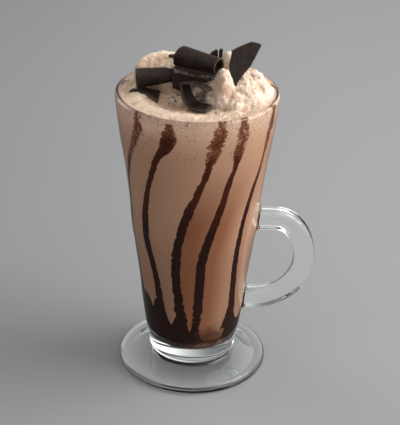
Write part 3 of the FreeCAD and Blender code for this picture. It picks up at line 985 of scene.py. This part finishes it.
def crumbs():
    """Small angular bits, in one mesh, each half sunk in the froth."""
    dice = random.Random(11)
    bm = bmesh.new()
    for (middle_x, middle_y), spread, count, largest in scatters:
        for _ in range(count):
            x, y = dice.gauss(middle_x, spread), dice.gauss(middle_y, spread)
            if math.hypot(x, y) > crumb_reach:
                continue
            height, rough = froth_form(x, y)
            height += froth_relief(x, y, height, rough)
            size = largest * dice.uniform(0.35, 1)
            angle = dice.uniform(0, 6.28)
            axis = Vector((dice.random(), dice.random(), 1)).normalized()
            width, thickness = size * dice.uniform(0.5, 0.9), size * dice.uniform(0.3, 0.6)
            place = (
                Matrix.Translation((x, y, height + size * 0.1))
                @ Matrix.Rotation(angle, 4, axis)
                @ Matrix.Diagonal((size, width, thickness, 1))
            )
            grown = bmesh.ops.create_icosphere(bm, subdivisions=1, radius=0.9, matrix=place)
            for vert in grown["verts"]:
                nudge = Vector((dice.gauss(0, 1), dice.gauss(0, 1), dice.gauss(0, 1)))
                vert.co += nudge * size * 0.1
    return loose_object(bm, "crumbs")


scatter = crumbs()
# The crumbs get a little of the same pale edge, partly dust and partly painted highlight.
painted(scatter, "broken_and_lit_edge", [0.25] * len(scatter.data.vertices))
as_piece(scatter, chocolate_finish, crease=20)

# --- Stage ------------------------------------------------------------------------------
# Plain pale paper under the glass, one large soft lamp on the handle's side, a faint one
# behind on the left and another above, dim light from the room, and a camera that looks
# down a little, from in front. Sizes here are in metres.

paper_painted_shade, paper_light = (0.245, 0.248, 0.256), (0.355, 0.357, 0.365)
paper_size = 3.0


def paper_material():
    """Pale paper, painted darker to the left. Seen through glass it glows evenly, with a painted shadow
    close to the foot, and reflections show it as a dim glow, a painted reflection.
    """
    material = new_material("paper", paper_light, Roughness=0.9, Specular_IOR_Level=0.2)
    nodes, links = material.node_tree.nodes, material.node_tree.links
    place = add_node(material, "ShaderNodeTexCoord").outputs["Object"]
    across = add_node(material, "ShaderNodeSeparateXYZ", Vector=place).outputs["X"]
    # Painted shade: the paper darkens towards the left, away from the key lamp.
    shade = levels(material, across, -0.32, 0.12)
    connect(material, blended(material, shade, paper_painted_shade, paper_light), "Base Color")
    from_glass = add_node(material, "ShaderNodeVectorMath", {"operation": "LENGTH"}, Vector=place)
    # Painted shadow: through glass the paper glows less close to the foot.
    painted_foot_shadow = levels(material, from_glass.outputs["Value"], 16 * mm, 50 * mm, 0.17, 0.52)
    path = add_node(material, "ShaderNodeLightPath")
    shader = nodes["Principled BSDF"].outputs[0]
    # Painted reflection: glossy rays see the paper as a dim glow, and transmission rays as an even glow.
    for ray, part, level in (("Is Glossy Ray", 0.8, 0.06), ("Is Transmission Ray", 0.85, painted_foot_shadow)):
        glow = add_node(material, "ShaderNodeEmission", Color=(1, 1, 1.02, 1), Strength=level)
        mix = add_node(material, "ShaderNodeMixShader")
        links.new(math_node(material, "MULTIPLY", path.outputs[ray], part), mix.inputs[0])
        links.new(shader, mix.inputs[1])
        links.new(glow.outputs[0], mix.inputs[2])
        shader = mix.outputs[0]
    links.new(shader, nodes["Material Output"].inputs["Surface"])
    return material


floor_bm = bmesh.new()
bmesh.ops.create_grid(floor_bm, x_segments=1, y_segments=1, size=paper_size)
floor = loose_object(floor_bm, "floor")
floor.data.materials.append(paper_material())


def softbox(name, place, aim, size, power, color=(1, 1, 1)):
    """Square area lamp that faces a point."""
    lamp = bpy.data.lights.new(name, "AREA")
    lamp.shape = "RECTANGLE"
    lamp.size, lamp.size_y = size
    lamp.energy = power
    lamp.color = color
    holder = bpy.data.objects.new(name, lamp)
    holder.location = place
    holder.rotation_euler = (Vector(aim) - Vector(place)).to_track_quat("-Z", "Y").to_euler()
    bpy.context.scene.collection.objects.link(holder)


softbox("key", (1.07, -0.02, 0.92), (0, 0, 0.08), (1.0, 1.0), 14.3, (1.0, 0.98, 0.95))
softbox("back_left", (-0.8, 0.5, 0.4), (0, 0, 0.08), (0.5, 0.9), 3.2, (0.95, 0.98, 1.0))
softbox("above", (-0.3, -0.25, 1.1), (0, 0, 0.1), (0.8, 0.8), 2.0)


def studio_world():
    """Soft room light: bright on the handle's side, dim behind the camera and on the left."""
    world = bpy.data.worlds.new("studio")
    world.use_nodes = True
    nodes, links = world.node_tree.nodes, world.node_tree.links
    direction = nodes.new("ShaderNodeSeparateXYZ")
    links.new(nodes.new("ShaderNodeTexCoord").outputs["Generated"], direction.inputs[0])
    bright = nodes.new("ShaderNodeMapRange")
    bright.interpolation_type = "SMOOTHSTEP"
    links.new(direction.outputs["X"], bright.inputs["Value"])
    range_ends = (("From Min", -0.35), ("From Max", 1.0), ("To Min", 0.09), ("To Max", 1.42))
    for name, value in range_ends:
        bright.inputs[name].default_value = value
    path = nodes.new("ShaderNodeLightPath")
    strength = bright.outputs[0]
    steps = (
        ("MULTIPLY", "Is Transmission Ray", 0.9, 1.0),
        ("ADD", "Is Glossy Ray", 0.22, 0.0),
        ("ADD", "Is Transmission Ray", -0.22, 0.0),
    )
    for operation, ray, amount, plain in steps:
        change = nodes.new("ShaderNodeMath")
        change.operation = "MULTIPLY_ADD"
        links.new(path.outputs[ray], change.inputs[0])
        change.inputs[1].default_value = amount
        change.inputs[2].default_value = plain
        applied = nodes.new("ShaderNodeMath")
        applied.operation = operation
        links.new(strength, applied.inputs[0])
        links.new(change.outputs[0], applied.inputs[1])
        strength = applied.outputs[0]
    nodes["Background"].inputs["Color"].default_value = (0.985, 0.99, 1.0, 1)
    links.new(strength, nodes["Background"].inputs["Strength"])
    return world


bpy.context.scene.world = studio_world()
bpy.context.scene.view_settings.view_transform = "Standard"

camera_data = bpy.data.cameras.new("camera")
camera_data.lens = 120.8
camera = bpy.data.objects.new("camera", camera_data)
eye, target = Vector((0, -0.6382, 0.4171)), Vector((0.00262, 0, 0.08484))
look = (target - eye).to_track_quat("-Z", "Y").to_matrix().to_4x4()
camera.matrix_world = Matrix.Translation(eye) @ look @ Matrix.Rotation(math.radians(1.4), 4, "Z")
bpy.context.scene.collection.objects.link(camera)
bpy.context.scene.camera = camera
